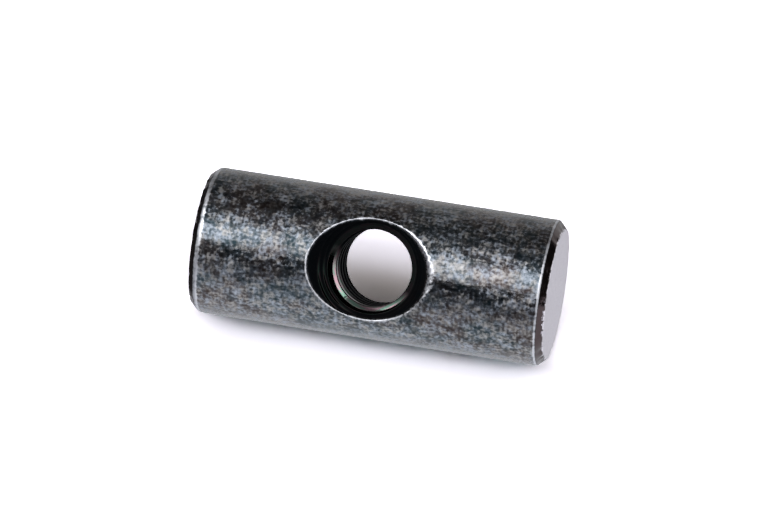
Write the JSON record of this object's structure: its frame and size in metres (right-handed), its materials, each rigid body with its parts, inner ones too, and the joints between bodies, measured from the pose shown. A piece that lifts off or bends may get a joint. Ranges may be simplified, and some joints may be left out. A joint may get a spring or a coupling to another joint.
{
  "type": "cross dowel nut",
  "caption": "Plain steel barrel with chamfered ends and a tapped hole across its middle, countersunk from both sides, for a connector bolt.",
  "frame": {"origin": "centre of the lower end face, which the nut stands on", "axes": "+Z along the barrel's axis, up; the cross hole runs along Y, with the mouth that faces the viewer towards -Y; X across both"},
  "size_m": [0.0098, 0.0098, 0.024],
  "materials": {
    "black_oxide_steel": "tumbled black oxide, worn bright along its edges"
  },
  "bodies": {
    "root": {"cross_dowel": "black_oxide_steel"}
  },
  "joints": []
}
